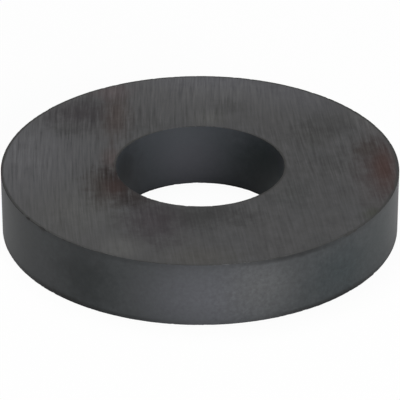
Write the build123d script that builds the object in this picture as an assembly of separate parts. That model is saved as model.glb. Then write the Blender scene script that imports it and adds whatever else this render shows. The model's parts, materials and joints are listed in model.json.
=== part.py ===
"""Sintered ferrite ring magnet: one pressed and fired piece, ground flat on both pole faces.

Millimetres. +Z runs along the bore. The origin is at the centre of the lower pole face.
"""
from build123d import *
import os

# Driving dimensions
OUTER_DIAMETER = 60.0
BORE_DIAMETER = 25.4
THICKNESS = 10.0
# Each ring edge, where a pole face meets the rim or the bore, is broken by this much.
EDGE_BREAK = 0.1

PARTS_FOLDER = "parts"


def ring_section():
    """Half section of the ring in the XZ plane, between the bore wall and the rim."""
    bore_radius = BORE_DIAMETER / 2
    wall = (OUTER_DIAMETER - BORE_DIAMETER) / 2
    with BuildSketch(Plane.XZ) as section:
        with Locations((bore_radius, 0)):
            Rectangle(wall, THICKNESS, align=(Align.MIN, Align.MIN))
        chamfer(section.vertices(), length=EDGE_BREAK)
    return section.sketch


def ring_magnet():
    """The whole magnet: its half section turned once round the bore axis."""
    return revolve(ring_section(), axis=Axis.Z)


os.makedirs(PARTS_FOLDER, exist_ok=True)
export_step(ring_magnet(), f"{PARTS_FOLDER}/ring_magnet.step")
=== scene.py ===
"""Looks of a sintered ferrite ring magnet: one pressed and fired ring, ground on both pole faces.

The ring is spun as a fine mesh in the place of its plain solid, so that its edges can carry the
crumbled arris and the small chips of a brittle ceramic. Everything is in metres, +Z up, except
where a name ends in mm or a comment says millimetres.
"""
import functools
import json
import math
import random

import bmesh
import bpy
from mathutils import Matrix, Vector, noise


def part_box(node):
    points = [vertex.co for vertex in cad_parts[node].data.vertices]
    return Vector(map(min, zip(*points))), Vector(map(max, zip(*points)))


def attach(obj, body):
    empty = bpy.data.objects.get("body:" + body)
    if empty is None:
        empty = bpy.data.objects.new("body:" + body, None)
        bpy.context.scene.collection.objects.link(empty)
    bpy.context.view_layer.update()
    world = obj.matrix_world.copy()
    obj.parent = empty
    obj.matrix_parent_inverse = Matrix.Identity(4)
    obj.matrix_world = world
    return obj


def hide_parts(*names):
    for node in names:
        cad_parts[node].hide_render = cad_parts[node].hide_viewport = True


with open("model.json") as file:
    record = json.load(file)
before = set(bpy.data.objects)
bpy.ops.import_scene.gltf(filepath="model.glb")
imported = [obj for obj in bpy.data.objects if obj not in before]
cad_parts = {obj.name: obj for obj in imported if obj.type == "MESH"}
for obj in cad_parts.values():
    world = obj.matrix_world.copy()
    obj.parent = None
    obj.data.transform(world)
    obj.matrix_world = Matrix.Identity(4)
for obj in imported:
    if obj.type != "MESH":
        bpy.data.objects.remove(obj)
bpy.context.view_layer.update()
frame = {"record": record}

MM = 0.001
LOW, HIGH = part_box("ring_magnet")
OUTER_RADIUS = (HIGH[0] - LOW[0]) / 2
THICKNESS = HIGH[2] - LOW[2]
CENTRE = Vector([(low + high) / 2 for low, high in zip(LOW, HIGH)])
MOUNT_SIZES = {mount["name"]: mount["dims"] for mount in frame["record"]["mounts"]}
BORE_RADIUS = MOUNT_SIZES["bore"]["r_mm"] * MM

# The same sizes in millimetres, for the patterns
RIM_MM = OUTER_RADIUS / MM
BORE_MM = BORE_RADIUS / MM
TOP_MM = THICKNESS / MM

# Ring mesh: rows are fine beside each arris, where the chips are, and coarse elsewhere.
# One wedge is spun and then repeated, which is much quicker than one long spin.
WEDGES = 20
WEDGE_STEPS = 60
FINE_BAND, FINE_ROWS = 0.36 * MM, 6
NEAR_BAND, NEAR_ROWS = 1.20 * MM, 3
WIDE_ROWS = 2
MERGE_DISTANCE = 0.001 * MM
SHARP_ANGLE = math.radians(28)

# Wear of the arrises: how far they are worn back on average, and its swing and its least value as
# shares of that. It wanders over about 3 mm and crumbles over about half a millimetre.
EDGE_BREAK = 0.05 * MM
EDGE_BREAK_SWING = 0.8
EDGE_BREAK_LEAST = 0.35
WANDERS_PER_MM = 0.35
CRUMBLES_PER_MM = 2.1
# Each arris reads the noise at a height of its own, so no two wear alike.
RIM_NOISE_HEIGHT, TOP_NOISE_HEIGHT = 17.0, 31.0
# A face that lies deeper than this under both of its surfaces shows broken grain.
BROKEN_DEPTH = 0.012 * MM

# Small chips: reach from the sharp corner, lean to the wall or the face in radians, stretch along
# the arris, and the radius of the ball that scoops each one, as a multiple of its reach
CHIPS_PER_METRE = 550
CHIP_SIZE = (0.04 * MM, 0.10 * MM)
CHIP_LEAN = (-0.6, 0.6)
CHIP_STRETCH = (1.0, 2.6)
CHIP_BALL = 2.2
CHIP_SEED = 7
# Chips are looked up by the sector of the ring that they are in.
SECTORS = 360
# Larger chips of the rim's upper arris: bearing in degrees, size in mm, lean and stretch
LARGE_CHIPS = (
    (46.0, 0.24, -0.4, 2.2),
    (48.5, 0.20, -0.5, 1.4),
    (-50.0, 0.20, -0.5, 2.6),
    (-57.0, 0.19, -0.4, 1.8),
)

# The ring's finishes, by their place in the list of its materials
POLE_FACE, RIM_WALL, BORE_WALL, BROKEN_GRAIN = range(4)


# ---------------------------------------------------------------- stains and painted shading

# How far a mark reaches down from the pole face, stains and painted light, and in from a wall, painted
# light and shade, in millimetres. Neither gets to the underside or through to the other wall.
FACE_STAIN_AND_LIGHT_DEPTH = 6.0
WALL_SHADING_DEPTH = 4.0


def face_stain_and_painted_light(name, colour, centre_mm, reach_mm, turn_deg, strength):
    """A mark of the upper pole face by its middle and its reach each way: mostly stains, and painted
    light at the rear.
    """
    return name, colour, (*centre_mm, TOP_MM), (*reach_mm, FACE_STAIN_AND_LIGHT_DEPTH), turn_deg, strength


def wall_shading_patch(name, colour, bearing_deg, height_mm, along_mm, up_mm, strength, radius_mm=RIM_MM):
    """A patch of painted shading, lighter or darker, on the rim's wall or the bore's, by its bearing
    from the front and its height.
    """
    bearing = math.radians(bearing_deg)
    centre = (radius_mm * math.sin(bearing), -radius_mm * math.cos(bearing), height_mm)
    return name, colour, centre, (along_mm, WALL_SHADING_DEPTH, up_mm), bearing_deg, strength


# Name, colour, middle and reach in millimetres, turn in degrees, strength. The rows are stains, except
# the
# three rear ones, which are painted light: the face is lighter towards the rear.
POLE_FACE_STAINS_AND_PAINTED_LIGHT = [face_stain_and_painted_light(*row) for row in (
    # Painted light: the rear of the face is lighter because of how the light falls there
    ("painted light, rear of the face", "#525253", (2.0, 29.0), (34.0, 18.0), -6, 0.9),
    ("painted light, rear rim of the face", "#545458", (3.0, 30.0), (20.0, 8.0), 0, 0.7),
    ("painted light, rear right of the face", "#4e4e51", (15.0, 25.0), (14.0, 9.0), -30, 0.7),
    ("clean, left", "#545456", (-28.0, 3.5), (18.0, 24.0), 0, 0.9),
    ("clean, front left", "#4e4e4d", (-18.5, -15.0), (11.0, 15.0), -10, 0.7),
    ("clean, behind the bore", "#4e4e4d", (1.6, 15.2), (4.6, 4.4), 0, 0.85),
    ("clean, front left rim", "#525251", (-11.5, -25.0), (5.5, 5.5), 0, 0.8),
    ("clean, front", "#484745", (0.0, -28.0), (9.0, 5.0), 0, 0.8),
    ("clean, far left rim", "#5a5a5b", (-21.5, 20.5), (3.0, 10.0), -46, 0.6),
    ("clean, far right rim", "#575757", (25.8, 13.5), (3.0, 7.0), 28, 0.8),
    ("smoky, upper left", "#2f2c2e", (-18.8, 17.0), (8.0, 9.5), 0, 0.85),
    ("smoky, left", "#3a3a3a", (-20.5, 12.0), (4.0, 4.0), 0, 0.6),
    ("brown streak, upper left", "#3e3735", (-13.0, 16.0), (3.4, 13.0), 0, 0.85),
    ("pink, upper left rim", "#514a4b", (-14.0, 24.5), (4.5, 4.5), 0, 0.8),
    ("dark smudge, rear", "#363636", (4.5, 19.3), (4.0, 4.0), 0, 0.5),
    ("dull, upper right", "#363636", (20.0, 13.0), (7.0, 6.0), 0, 0.6),
    ("dull, right of the bore", "#383837", (17.0, 9.0), (5.0, 6.0), 0, 0.6),
    ("dull, right", "#363636", (18.5, 0.5), (5.0, 5.0), 0, 0.6),
    ("dull, front right of the bore", "#333433", (13.6, -8.8), (4.6, 5.4), 0, 0.45),
    ("dark, front of the bore", "#2a2a2a", (0.0, -15.5), (12.0, 5.5), 0, 0.75),
    ("purple, front left of the bore", "#332f32", (-6.8, -17.0), (6.8, 10.5), 8, 0.85),
    ("pink, left of the bore", "#473e3d", (-13.3, 2.0), (2.6, 6.5), 0, 0.7),
    ("brown, left of the bore", "#2f2926", (-14.2, -7.0), (4.6, 9.0), 12, 0.8),
    ("dark brown, left of the bore", "#17100f", (-12.3, -5.0), (3.4, 8.0), 18, 1.0),
    ("dark brown, front left of the bore", "#1e1919", (-9.8, -10.4), (4.6, 4.4), 40, 0.9),
    ("red, left of the bore", "#2f2321", (-12.8, -7.0), (2.4, 4.6), 10, 0.7),
    ("pink, right rim", "#3d3636", (27.0, -1.0), (5.5, 18.0), 0, 0.8),
    ("rust, right rim", "#382723", (27.8, -1.0), (3.2, 10.5), 0, 0.85),
    ("dark brown, right rim", "#2b2522", (25.4, 5.2), (3.0, 5.6), -20, 0.75),
    ("green grey, right rim", "#35372f", (25.6, -15.0), (2.6, 2.6), 0, 0.7),
)]

# Painted light and shade round the rim's wall, some with a teal tint, and painted contact shadow at
# its foot:
# name, colour, bearing in degrees, height and reach along the wall and up it in mm, strength
WALL_PAINTED_SHADING = [wall_shading_patch(*row) for row in (
    # Painted light on the front of the wall, where the key lamp falls, and painted shade to its sides;
    # the teal rows also carry a teal tint
    ("painted light, front of the wall", "#404145", 2, 4.5, 16.0, 10.0, 0.9),
    ("painted light, front right of the wall", "#404142", 17, 5.5, 8.0, 8.0, 0.8),
    ("painted shade, front left of the wall", "#1c1f20", -34, 5.0, 9.0, 9.0, 1.0),
    ("teal with painted shade, right of the wall", "#22282a", 44, 4.5, 11.0, 8.0, 0.9),
    ("teal with painted shade, far right of the wall", "#24292a", 62, 5.0, 8.0, 9.0, 0.7),
    ("painted shade, left", "#282b2c", -58, 5.0, 8.0, 8.0, 0.5),
    # Painted shade under the upper arris, and painted contact shadow along the foot
    ("painted shade, under the upper edge right", "#141516", 27, 9.8, 14.0, 0.8, 0.75),
    ("painted contact shadow, foot left", "#0b0c0c", -46, 0.2, 18.0, 1.0, 0.9),
    ("painted contact shadow, foot right", "#0b0c0c", 44, 0.2, 14.0, 0.9, 0.8),
)]

# Painted light and shade inside the bore, lighter at its rear and darker at its two ends, in the same
# columns
BORE_PAINTED_SHADING = [wall_shading_patch(*row, radius_mm=BORE_MM) for row in (
    ("painted light, rear of the bore", "#3c3d42", 188, 3.0, 9.0, 9.0, 0.9),
    ("painted shade, right of the bore", "#11191b", 127, 5.0, 9.6, 10.0, 1.0),
    ("painted shade, left", "#17191b", 249, 5.0, 8.0, 10.0, 1.0),
)]

# Painted shade along the edges of each wall, under the upper arris and as painted contact shadow at
# the foot:
# the heights in mm where one starts and is full, its share
RIM_PAINTED_SHADE_BANDS = ((TOP_MM - 1.0, TOP_MM - 0.35, 0.28), (0.85, 0.4, 0.45))
BORE_PAINTED_SHADE_BANDS = ((0.5, 0.2, 0.6),)


# ---------------------------------------------------------------- shape

def section_outline(bm):
    """Half section of the ring in the XZ plane, with rows added near its four corners."""
    corners = [
        Vector((BORE_RADIUS, 0, 0)),
        Vector((OUTER_RADIUS, 0, 0)),
        Vector((OUTER_RADIUS, 0, THICKNESS)),
        Vector((BORE_RADIUS, 0, THICKNESS)),
    ]
    verts = []
    for start, end in zip(corners, corners[1:] + corners[:1]):
        along = (end - start).normalized()
        near = [start + along * d for d in (0, FINE_BAND, NEAR_BAND)]
        far = [end - along * d for d in (NEAR_BAND, FINE_BAND)]
        verts += [bm.verts.new(p) for p in near + far]
    edges = [bm.edges.new(pair) for pair in zip(verts, verts[1:] + verts[:1])]
    rows_of_side = (FINE_ROWS, NEAR_ROWS, WIDE_ROWS, NEAR_ROWS, FINE_ROWS)
    for place, rows in enumerate(rows_of_side):
        bmesh.ops.subdivide_edges(bm, edges=edges[place::len(rows_of_side)], cuts=rows - 1)


def depths(point, rim, top):
    """How deep a point lies under the wall and under the pole face that meet at one arris."""
    radius = math.hypot(point.x, point.y)
    under_wall = OUTER_RADIUS - radius if rim else radius - BORE_RADIUS
    under_face = THICKNESS - point.z if top else point.z
    return under_wall, under_face


def nearest_arris(point):
    """Whether the arris nearest to a point is on the rim, and whether it is at the top."""
    rim = math.hypot(point.x, point.y) > (OUTER_RADIUS + BORE_RADIUS) / 2
    return rim, point.z > THICKNESS / 2


def chip(angle, size, lean, stretch):
    """One chip: size is its reach from the sharp corner, and lean tips it to the wall or the face.

    It is a ball centred outside the ring, stretched along the arris, that scoops the corner away.
    """
    ball = CHIP_BALL * size
    away = ball - size
    wall_centre = -away * math.cos(math.pi / 4 + lean)
    face_centre = -away * math.sin(math.pi / 4 + lean)
    return angle, ball, wall_centre, face_centre, stretch


def sector_of(angle):
    """The number of the sector that an angle is in. It runs on past the ends of one full turn."""
    return math.floor((angle / math.tau + 0.5) * SECTORS)


def chips_by_sector(rim, top, rng):
    """The chips of one arris, listed under each of the sectors that they reach into."""
    radius = OUTER_RADIUS if rim else BORE_RADIUS
    chips = [
        chip(
            rng.uniform(-math.pi, math.pi), rng.uniform(*CHIP_SIZE),
            rng.uniform(*CHIP_LEAN), rng.uniform(*CHIP_STRETCH),
        )
        for _ in range(int(radius * CHIPS_PER_METRE * math.tau))
    ]
    if rim and top:
        chips += [chip(math.radians(turn), size * MM, *shape) for turn, size, *shape in LARGE_CHIPS]
    sectors = [[] for _ in range(SECTORS)]
    for one in chips:
        angle, ball, _, _, stretch = one
        spread = ball * stretch / radius
        for sector in range(sector_of(angle - spread), sector_of(angle + spread) + 1):
            sectors[sector % SECTORS].append(one)
    return sectors


@functools.lru_cache(maxsize=None)
def edge_break(angle, rim, top):
    """How far the arris is worn back at one place."""
    radius = RIM_MM if rim else BORE_MM
    height = RIM_NOISE_HEIGHT * rim + TOP_NOISE_HEIGHT * top
    place = Vector((math.cos(angle) * radius, math.sin(angle) * radius, height))
    swing = noise.noise(place * WANDERS_PER_MM) + noise.noise(place * CRUMBLES_PER_MM)
    return EDGE_BREAK * max(EDGE_BREAK_LEAST, 1 + EDGE_BREAK_SWING * swing)


def scooped(wall, face, along, ball, wall_centre, face_centre):
    """The depths of a point once one chip is out, pushed to the chip's ball if it is inside it."""
    if abs(along) >= ball:
        return wall, face
    reach = math.sqrt(ball * ball - along * along)
    away = math.hypot(wall - wall_centre, face - face_centre)
    if away >= reach:
        return wall, face
    wall = wall_centre + (wall - wall_centre) * reach / away
    face = face_centre + (face - face_centre) * reach / away
    return wall, face


def worn(point, rim, top, sectors):
    """Where a point near an arris ends up once the edge is worn and its chips are out."""
    wall, face = depths(point, rim, top)
    if wall + face > NEAR_BAND:
        return point
    angle = math.atan2(point.x, -point.y)
    short = (edge_break(round(angle, 6), rim, top) - wall - face) / 2
    if short > 0:
        wall += short
        face += short
    radius = OUTER_RADIUS if rim else BORE_RADIUS
    for chip_angle, ball, wall_centre, face_centre, stretch in sectors[sector_of(angle) % SECTORS]:
        turn = (angle - chip_angle + math.pi) % math.tau - math.pi
        along = turn * radius / stretch
        wall, face = scooped(wall, face, along, ball, wall_centre, face_centre)
    new_radius = OUTER_RADIUS - wall if rim else BORE_RADIUS + wall
    return Vector((
        math.sin(angle) * new_radius,
        -math.cos(angle) * new_radius,
        THICKNESS - face if top else face,
    ))


def finish_of(face):
    """Which of the ring's finishes a face has."""
    centre = face.calc_center_median()
    rim, top = nearest_arris(centre)
    wall, under = depths(centre, rim, top)
    if wall > BROKEN_DEPTH and under > BROKEN_DEPTH:
        return BROKEN_GRAIN
    if under <= BROKEN_DEPTH:
        return POLE_FACE
    return RIM_WALL if rim else BORE_WALL


def wear_arrises(bm):
    """Moves the points beside the four arrises to where wear and chips leave them."""
    rng = random.Random(CHIP_SEED)
    arrises = [(rim, top) for rim in (True, False) for top in (True, False)]
    sectors = {arris: chips_by_sector(*arris, rng) for arris in arrises}
    for vert in bm.verts:
        arris = nearest_arris(vert.co)
        vert.co = worn(vert.co, *arris, sectors[arris])


def ring_mesh():
    """The ring: its half section spun into a wedge, the wedge repeated all round, its arrises worn."""
    bm = bmesh.new()
    section_outline(bm)
    wedge = math.tau / WEDGES
    about = {"cent": (0, 0, 0), "axis": (0, 0, 1)}
    bmesh.ops.spin(bm, geom=bm.verts[:] + bm.edges[:], angle=wedge, steps=WEDGE_STEPS, **about)
    bmesh.ops.spin(
        bm, geom=bm.verts[:] + bm.edges[:] + bm.faces[:], angle=math.tau - wedge, steps=WEDGES - 1,
        use_duplicate=True, **about,
    )
    bmesh.ops.remove_doubles(bm, verts=bm.verts, dist=MERGE_DISTANCE)
    wear_arrises(bm)
    bmesh.ops.recalc_face_normals(bm, faces=bm.faces)
    for face in bm.faces:
        face.smooth = True
        face.material_index = finish_of(face)
    mesh = bpy.data.meshes.new("ring_magnet_worn")
    bm.to_mesh(mesh)
    bm.free()
    mesh.set_sharp_from_angle(angle=SHARP_ANGLE)
    return mesh


# ---------------------------------------------------------------- materials

# Sockets of a Mix node: its factor, then the two inputs and the output for colours and for values
FACTOR = 0
COLOUR_A, COLOUR_B, COLOUR_OUT = 6, 7, 2
VALUE_A, VALUE_B, VALUE_OUT = 2, 3, 0

# Passes of the grinding wheel: where its far centre lies in mm, and the seed of its scratches
FIRST_PASS = ((420.0, 20.0), 3.0)
SECOND_PASS = ((1500.0, 160.0), 11.0)
SCRATCH_SPACING_MM = 0.36
SCRATCH_LENGTH_MM = 8.0
# The second pass shows to the right and front, from a border that wanders: its direction, how far
# it wanders, and the millimetres over which the first pass gives way.
SECOND_PASS_SIDE = (1.0, -0.4, 0.0)
BORDER_WANDER_MM = 20.0
BORDER_START_MM, BORDER_END_MM = 2.0, 20.0
# The scratches fade a little towards the front: the places between which they do, and their share
# at each place
FADE_PLACES_MM, FADE_SHARES = (-20.0, 0.0), (0.6, 1.0)

# Noise patterns. On a pole face clouds are about 8 mm across and smudges 2 mm, and on a wall 6 mm
# and 1.5 mm, with a mottle of half a millimetre. Broken grain is drawn at 0.17 mm, which is coarser
# than the real grain, so that it shows.
FACE_CLOUDS_PER_MM, FACE_SMUDGES_PER_MM = 0.12, 0.55
WALL_CLOUDS_PER_MM, WALL_SMUDGES_PER_MM, WALL_MOTTLES_PER_MM = 0.16, 0.7, 1.8
GRAINS_PER_MM = 6.0
# The middle of a noise pattern, where it makes nothing darker or lighter
MIDDLE = 0.5
# How much darker and lighter the scratches and the smudges make a pole face
SCRATCH_SHADE, SMUDGE_SHADE = 0.44, 0.15
# How far the smudges and the scratches move the edges of stains and of patches of painted shading, as
# a share of their reach
FACE_RAGGED_BY_SMUDGES, FACE_RAGGED_BY_SCRATCHES = 0.3, 0.4
WALL_RAGGED_BY_SMUDGES = 0.2
# The mottle of the walls is fainter on the left: the places between which it grows, and its share
# at each place
MOTTLE_PLACES_MM, MOTTLE_SHARES = (0.0, 6.0), (0.55, 1.0)

# Darker bands beside the rim's and the bore's arrises, partly edge wear and partly painted shade: the
# radius in mm where one starts and where it is full, the places in mm from front to rear between which
# it changes, and its share at each place
RIM_WEAR_AND_SHADE = ((RIM_MM - 0.55, RIM_MM - 0.25), (-28.0, -10.0), (0.25, 1.0))
BORE_WEAR_AND_SHADE = ((BORE_MM + 0.5, BORE_MM + 0.2), (8.5, 12.0), (1.0, 0.1))
# How far the inner edge of a darker band by an arris wavers
EDGE_WEAR_RAGGED_MM = 0.15


def linear(hex_colour):
    """An sRGB hex colour as linear RGBA."""
    parts = [int(hex_colour[i:i + 2], 16) / 255 for i in (1, 3, 5)]
    return [c / 12.92 if c <= 0.04045 else ((c + 0.055) / 1.055) ** 2.4 for c in parts] + [1.0]


def add(tree, kind, inputs=None, **settings):
    """Adds a node with its settings. Each input is given a value, or the socket it is linked to."""
    node = tree.nodes.new("ShaderNode" + kind)
    for name, value in settings.items():
        setattr(node, name, value)
    for name, value in (inputs or {}).items():
        if isinstance(value, bpy.types.NodeSocket):
            tree.links.new(value, node.inputs[name])
        else:
            node.inputs[name].default_value = value
    return node


def new_material(name):
    """An empty node material and its tree, with a point in millimetres to draw patterns on."""
    material = bpy.data.materials.new(name)
    material.use_nodes = True
    tree = material.node_tree
    tree.nodes.clear()
    where = add(tree, "TexCoord")
    point = add(tree, "Mapping", {"Vector": where.outputs["Object"], "Scale": (1 / MM,) * 3})
    return material, tree, point.outputs[0]


def finish(tree, inputs):
    """Ends a tree in one Principled shader."""
    shader = add(tree, "BsdfPrincipled", inputs)
    add(tree, "OutputMaterial", {"Surface": shader.outputs[0]})


def oval(tree, point, centre_mm, reach_mm, turn_deg, strength, ragged):
    """A soft ragged-edged oval on the surface, from strength at its centre to 0 at its reach."""
    local = add(tree, "Mapping", {
        "Vector": point, "Location": centre_mm, "Rotation": (0, 0, math.radians(turn_deg)),
        "Scale": reach_mm,
    }, vector_type="TEXTURE")
    away = add(tree, "VectorMath", {0: local.outputs[0]}, operation="LENGTH").outputs["Value"]
    edge = add(tree, "Math", {0: away, 1: ragged}, operation="ADD").outputs[0]
    return add(tree, "MapRange", {
        "Value": edge, "From Min": 1.0, "From Max": 0.0, "To Min": 0.0, "To Max": strength,
    }, interpolation_type="SMOOTHSTEP").outputs[0]


def stained_and_shaded(tree, point, colour, stains_and_shading, ragged, blend_type="MIX"):
    """A colour with a list of stains and patches of painted shading laid over it, one after the other.
    """
    for name, hex_colour, centre, reach, turn, strength in stains_and_shading:
        share = oval(tree, point, centre, reach, turn, strength, ragged)
        colour = add(tree, "Mix", {
            FACTOR: share, COLOUR_A: colour, COLOUR_B: linear(hex_colour),
        }, data_type="RGBA", blend_type=blend_type, label=name).outputs[COLOUR_OUT]
    return colour


def centred(tree, value, size):
    """A noise value, which lies mostly from 0.3 to 0.7, as a swing of the given size about zero."""
    return add(tree, "MapRange", {
        "Value": value, "From Min": 0.3, "From Max": 0.7, "To Min": -size / 2, "To Max": size / 2,
    }).outputs[0]


def shaded(tree, colour, value, swing):
    """A colour made darker or lighter, by up to the swing, where a noise value is low or high."""
    shade = add(tree, "MapRange", {
        "Value": value, "From Min": 0.25, "From Max": 0.75, "To Min": 1 - swing, "To Max": 1 + swing,
    })
    return add(tree, "Mix", {
        FACTOR: 1.0, COLOUR_A: colour, COLOUR_B: shade.outputs[0],
    }, data_type="RGBA", blend_type="MULTIPLY").outputs[COLOUR_OUT]


def grinding_lines(tree, point, centre_mm, seed):
    """Scratches of one pass of a cup wheel: arcs round its far centre, from 0 to 1 in height."""
    flat = add(tree, "Mapping", {
        "Vector": point, "Location": (centre_mm[0], -centre_mm[1], 0), "Scale": (-1, 1, 0),
    })
    axes = add(tree, "SeparateXYZ", {0: flat.outputs[0]})
    radius = add(tree, "VectorMath", {0: flat.outputs[0]}, operation="LENGTH")
    turn = add(tree, "Math", {0: axes.outputs["Y"], 1: axes.outputs["X"]}, operation="ARCTAN2")
    along = add(tree, "Math", {0: turn.outputs[0], 1: math.hypot(*centre_mm)}, operation="MULTIPLY")
    track = add(tree, "CombineXYZ", {"X": radius.outputs["Value"], "Y": along.outputs[0], "Z": seed})
    stretched = add(tree, "Mapping", {
        "Vector": track.outputs[0], "Scale": (1 / SCRATCH_SPACING_MM, 1 / SCRATCH_LENGTH_MM, 1),
    })
    lines = add(tree, "TexNoise", {
        "Vector": stretched.outputs[0], "Scale": 1.0, "Detail": 2.5, "Roughness": 0.6,
    })
    return lines.outputs["Fac"]


def scratches(tree, point, cloud, rearward):
    """The scratches of both passes together, fading a little towards the front of the ring."""
    first = grinding_lines(tree, point, *FIRST_PASS)
    second = grinding_lines(tree, point, *SECOND_PASS)
    faint = add(tree, "MapRange", {"Value": second, "To Min": 0.15, "To Max": 0.85}).outputs[0]
    across = add(tree, "VectorMath", {0: point, 1: SECOND_PASS_SIDE}, operation="DOT_PRODUCT")
    wander = add(tree, "Math", {
        0: cloud, 1: BORDER_WANDER_MM, 2: across.outputs["Value"],
    }, operation="MULTIPLY_ADD").outputs[0]
    share = add(tree, "MapRange", {
        "Value": wander, "From Min": BORDER_START_MM, "From Max": BORDER_END_MM,
    }, interpolation_type="SMOOTHSTEP").outputs[0]
    lines = add(tree, "Mix", {FACTOR: share, VALUE_A: first, VALUE_B: faint}).outputs[VALUE_OUT]
    kept = add(tree, "MapRange", {
        "Value": rearward, "From Min": FADE_PLACES_MM[0], "From Max": FADE_PLACES_MM[1],
        "To Min": FADE_SHARES[0], "To Max": FADE_SHARES[1],
    }, interpolation_type="SMOOTHSTEP").outputs[0]
    return add(tree, "Mix", {FACTOR: kept, VALUE_A: MIDDLE, VALUE_B: lines}).outputs[VALUE_OUT]


def wear_and_shade_band(tree, radius, rearward, depth, places, shares):
    """How dark a pole face is beside one of its arrises, from edge wear and painted shade."""
    band = add(tree, "MapRange", {
        "Value": radius, "From Min": depth[0], "From Max": depth[1],
    }, interpolation_type="SMOOTHSTEP").outputs[0]
    kept = add(tree, "MapRange", {
        "Value": rearward, "From Min": places[0], "From Max": places[1],
        "To Min": shares[0], "To Max": shares[1],
    }).outputs[0]
    return add(tree, "Math", {0: band, 1: kept}, operation="MULTIPLY").outputs[0]


def edge_wear_and_shade(tree, point, rearward, ragged):
    """How dark a pole face is by its arrises, from edge wear and painted shade: 1 along them, and 0
    half a millimetre in.

    The bore's arris has hardly any of it at the rear, and the rim's at the front.
    """
    flat = add(tree, "Mapping", {"Vector": point, "Scale": (1, 1, 0)})
    radius = add(tree, "VectorMath", {0: flat.outputs[0]}, operation="LENGTH").outputs["Value"]
    radius = add(tree, "Math", {0: radius, 1: ragged}, operation="ADD").outputs[0]
    outer = wear_and_shade_band(tree, radius, rearward, *RIM_WEAR_AND_SHADE)
    inner = wear_and_shade_band(tree, radius, rearward, *BORE_WEAR_AND_SHADE)
    return add(tree, "Math", {0: outer, 1: inner}, operation="MAXIMUM").outputs[0]


def ground_ferrite():
    """Ferrite ground flat by a diamond cup wheel: matt charcoal grey, with fine curved scratches.

    The grit's own scratches are finer than can be seen, so they are drawn in bundles that are
    just wide enough to show.
    """
    material, tree, point = new_material("ferrite_ground_pole_face")
    rearward = add(tree, "SeparateXYZ", {0: point}).outputs["Y"]
    cloud = add(tree, "TexNoise", {
        "Vector": point, "Scale": FACE_CLOUDS_PER_MM, "Detail": 3.0, "Roughness": 0.55,
    }).outputs["Fac"]
    smudge = add(tree, "TexNoise", {
        "Vector": point, "Scale": FACE_SMUDGES_PER_MM, "Detail": 4.0, "Roughness": 0.65,
    }).outputs["Fac"]
    lines = scratches(tree, point, cloud, rearward)
    ragged = add(tree, "Math", {
        0: centred(tree, smudge, FACE_RAGGED_BY_SMUDGES),
        1: centred(tree, lines, FACE_RAGGED_BY_SCRATCHES),
    }, operation="ADD").outputs[0]
    colour = add(tree, "Mix", {
        FACTOR: cloud, COLOUR_A: linear("#444343"), COLOUR_B: linear("#424344"),
    }, data_type="RGBA").outputs[COLOUR_OUT]
    # Stains, and painted light towards the rear of the face
    colour = stained_and_shaded(tree, point, colour, POLE_FACE_STAINS_AND_PAINTED_LIGHT, ragged)
    colour = shaded(tree, colour, lines, SCRATCH_SHADE)
    colour = shaded(tree, colour, smudge, SMUDGE_SHADE)
    edge_darkening = edge_wear_and_shade(tree, point, rearward, centred(tree, smudge, EDGE_WEAR_RAGGED_MM))
    # Darker along the arrises: partly edge wear, partly painted shade
    colour = add(tree, "Mix", {
        FACTOR: edge_darkening, COLOUR_A: colour, COLOUR_B: linear("#343433"),
    }, data_type="RGBA", blend_type="DARKEN").outputs[COLOUR_OUT]
    bump = add(tree, "Bump", {"Height": lines, "Strength": 0.3, "Distance": 0.02 * MM})
    finish(tree, {
        "Base Color": colour, "Roughness": 0.65, "IOR": 1.45, "Specular IOR Level": 0.1,
        "Normal": bump.outputs[0],
    })
    return material


def fired_ferrite(name, warm, cool, mottle, stains_and_shading, painted_shade_bands):
    """Ferrite as it left the die and the kiln: smooth, dense and satin, a cool near-black grey.

    Its fine mottle is strongest on the right, and about half that on the left. Painted light and shade
    lie over it in patches, and as dark bands along its edges.
    """
    material, tree, point = new_material(name)
    axes = add(tree, "SeparateXYZ", {0: point}).outputs
    cloud = add(tree, "TexNoise", {
        "Vector": point, "Scale": WALL_CLOUDS_PER_MM, "Detail": 3.0, "Roughness": 0.55,
    }).outputs["Fac"]
    smudge = add(tree, "TexNoise", {
        "Vector": point, "Scale": WALL_SMUDGES_PER_MM, "Detail": 3.0, "Roughness": 0.6,
    }).outputs["Fac"]
    grain = add(tree, "TexNoise", {
        "Vector": point, "Scale": WALL_MOTTLES_PER_MM, "Detail": 2.0, "Roughness": 0.6,
    }).outputs["Fac"]
    colour = add(tree, "Mix", {
        FACTOR: cloud, COLOUR_A: linear(warm), COLOUR_B: linear(cool),
    }, data_type="RGBA").outputs[COLOUR_OUT]
    # Painted shade: a dark band under the upper arris, and painted contact shadow along the foot
    for start, full, share in painted_shade_bands:
        band = add(tree, "MapRange", {
            "Value": axes["Z"], "From Min": start, "From Max": full, "To Max": share,
        }, interpolation_type="SMOOTHSTEP").outputs[0]
        colour = add(tree, "Mix", {
            FACTOR: band, COLOUR_A: colour, COLOUR_B: linear("#0d0d0d"),
        }, data_type="RGBA").outputs[COLOUR_OUT]
    # Patches of painted light and shade laid over the colour
    colour = stained_and_shaded(tree, point, colour, stains_and_shading, centred(tree, smudge, WALL_RAGGED_BY_SMUDGES))
    patchy = add(tree, "MapRange", {
        "Value": axes["X"], "From Min": MOTTLE_PLACES_MM[0], "From Max": MOTTLE_PLACES_MM[1],
        "To Min": MOTTLE_SHARES[0], "To Max": MOTTLE_SHARES[1],
    }).outputs[0]
    grain = add(tree, "Mix", {FACTOR: patchy, VALUE_A: MIDDLE, VALUE_B: grain}).outputs[VALUE_OUT]
    colour = shaded(tree, colour, smudge, mottle / 2)
    colour = shaded(tree, colour, grain, mottle)
    finish(tree, {
        "Base Color": colour, "Roughness": 0.5, "IOR": 1.45, "Specular IOR Level": 0.25,
    })
    return material


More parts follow.
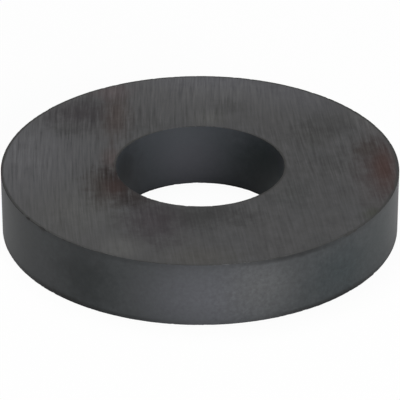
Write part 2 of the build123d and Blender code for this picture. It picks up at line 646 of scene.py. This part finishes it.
def broken_ferrite():
    """Ferrite where its arris has crumbled: dark, dull broken grain.

    The pole face's darker stains run over it, and the lighter ones don't.
    """
    material, tree, point = new_material("ferrite_broken_grain")
    grain = add(tree, "TexNoise", {
        "Vector": point, "Scale": GRAINS_PER_MM, "Detail": 2.0, "Roughness": 0.6,
    }).outputs["Fac"]
    colour = add(tree, "Mix", {
        FACTOR: grain, COLOUR_A: linear("#262626"), COLOUR_B: linear("#3c3c3b"),
    }, data_type="RGBA").outputs[COLOUR_OUT]
    colour = stained_and_shaded(tree, point, colour, POLE_FACE_STAINS_AND_PAINTED_LIGHT, 0.0, blend_type="DARKEN")
    bump = add(tree, "Bump", {"Height": grain, "Strength": 0.5, "Distance": 0.03 * MM})
    finish(tree, {
        "Base Color": colour, "Roughness": 0.85, "IOR": 1.45, "Specular IOR Level": 0.1,
        "Normal": bump.outputs[0],
    })
    return material


def build_ring():
    """The worn ring in its four finishes, which stands for the plain solid."""
    ring = bpy.data.objects.new("ferrite_ring", ring_mesh())
    bpy.context.collection.objects.link(ring)
    finishes = {
        POLE_FACE: ground_ferrite(),
        RIM_WALL: fired_ferrite(
            "ferrite_as_fired_rim", "#2f3032", "#2e3132", 0.2, WALL_PAINTED_SHADING, RIM_PAINTED_SHADE_BANDS,
        ),
        BORE_WALL: fired_ferrite(
            "ferrite_as_fired_bore", "#303135", "#2b3033", 0.1, BORE_PAINTED_SHADING, BORE_PAINTED_SHADE_BANDS,
        ),
        BROKEN_GRAIN: broken_ferrite(),
    }
    for number in sorted(finishes):
        ring.data.materials.append(finishes[number])
    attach(ring, "root")
    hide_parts("ring_magnet")


# ---------------------------------------------------------------- studio

# How much of plain white the paper shows to the eye, and in reflections
PAPER_SEEN_WHITE = 0.95
PAPER_MIRRORED_WHITE = 0.3
FLOOR_RADIUS = 40 * OUTER_RADIUS
# The paper lies a hair under the ring, so that the two faces never share one plane.
FLOOR_GAP = 0.01 * MM

LAMP_DISTANCE = 0.6
LAMP_SIDE = 0.3

LENS_MM = 278.1
CAMERA_ELEVATION_DEG = 28.83
CAMERA_DISTANCE = 15.606 * OUTER_RADIUS
# The camera looks at a point this far under the ring's centre.
AIM_DROP = 0.1 * THICKNESS


def floor_material():
    """Pale paper. To the eye it is nearly white, with the ring's soft shadow.

    In reflections it is less so, which leaves the bore's wall in the shade of its own hole.
    """
    material, tree, _ = new_material("paper_matt_white")
    path = add(tree, "LightPath").outputs
    seen = add(tree, "Math", {
        0: path["Is Camera Ray"], 1: path["Is Transmission Ray"],
    }, operation="MAXIMUM").outputs[0]
    seen = add(tree, "Math", {0: seen, 1: PAPER_SEEN_WHITE}, operation="MULTIPLY").outputs[0]
    mirrored = add(tree, "Math", {
        0: path["Is Glossy Ray"], 1: PAPER_MIRRORED_WHITE,
    }, operation="MULTIPLY").outputs[0]
    share = add(tree, "Math", {0: seen, 1: mirrored}, operation="MAXIMUM").outputs[0]
    paper = add(tree, "BsdfDiffuse", {"Color": linear("#f2f2f2")})
    white = add(tree, "Emission", {"Color": (1, 1, 1, 1), "Strength": 1.0})
    both = add(tree, "MixShader", {0: share, 1: paper.outputs[0], 2: white.outputs[0]})
    add(tree, "OutputMaterial", {"Surface": both.outputs[0]})
    return material


def build_floor():
    bm = bmesh.new()
    drop = Matrix.Translation((0, 0, -FLOOR_GAP))
    bmesh.ops.create_circle(bm, cap_ends=True, segments=64, radius=FLOOR_RADIUS, matrix=drop)
    mesh = bpy.data.meshes.new("floor")
    bm.to_mesh(mesh)
    bm.free()
    mesh.materials.append(floor_material())
    floor = bpy.data.objects.new("floor", mesh)
    bpy.context.collection.objects.link(floor)


def build_world():
    """Plain white where it is seen or mirrored, which puts no light of its own on matt surfaces."""
    world = bpy.data.worlds.new("studio")
    bpy.context.scene.world = world
    world.use_nodes = True
    tree = world.node_tree
    tree.nodes.clear()
    path = add(tree, "LightPath").outputs
    seen = add(tree, "Math", {
        0: path["Is Camera Ray"], 1: path["Is Glossy Ray"],
    }, operation="MAXIMUM").outputs[0]
    seen = add(tree, "Math", {0: seen, 1: path["Is Transmission Ray"]}, operation="MAXIMUM").outputs[0]
    white = add(tree, "Background", {"Color": (1, 1, 1, 1), "Strength": seen})
    add(tree, "OutputWorld", {"Surface": white.outputs[0]})


def place(azimuth_deg, elevation_deg, distance):
    """A point at a bearing from the ring's centre; bearing 0 is in front of it, 90 to its right."""
    azimuth, elevation = math.radians(azimuth_deg), math.radians(elevation_deg)
    flat = Vector((math.sin(azimuth), -math.cos(azimuth), 0)) * math.cos(elevation)
    return CENTRE + (flat + Vector((0, 0, math.sin(elevation)))) * distance


def facing(start, target):
    """The turn of a lamp or a camera that looks from one point to another."""
    return (target - start).to_track_quat("-Z", "Y").to_euler()


def softbox(name, azimuth_deg, elevation_deg, radiance):
    """A square lamp of even brightness that faces the ring."""
    lamp = bpy.data.lights.new(name, "AREA")
    lamp.size = LAMP_SIDE
    lamp.energy = radiance * math.pi * LAMP_SIDE * LAMP_SIDE
    box = bpy.data.objects.new(name, lamp)
    box.location = place(azimuth_deg, elevation_deg, LAMP_DISTANCE)
    box.rotation_euler = facing(box.location, CENTRE)
    bpy.context.collection.objects.link(box)


def build_camera():
    """A long lens from in front, a little under 30 degrees above the table."""
    lens = bpy.data.cameras.new("camera")
    lens.sensor_width = 36.0
    lens.lens = LENS_MM
    lens.clip_start = 0.01
    camera = bpy.data.objects.new("camera", lens)
    camera.location = place(0, CAMERA_ELEVATION_DEG, CAMERA_DISTANCE)
    camera.rotation_euler = facing(camera.location, CENTRE - Vector((0, 0, AIM_DROP)))
    bpy.context.collection.objects.link(camera)
    bpy.context.scene.camera = camera


bpy.context.scene.view_settings.view_transform = "Standard"
build_camera()
build_floor()
build_world()
softbox("key", azimuth_deg=22, elevation_deg=17, radiance=17.0)
softbox("top", azimuth_deg=-150, elevation_deg=75, radiance=8.0)
build_ring()
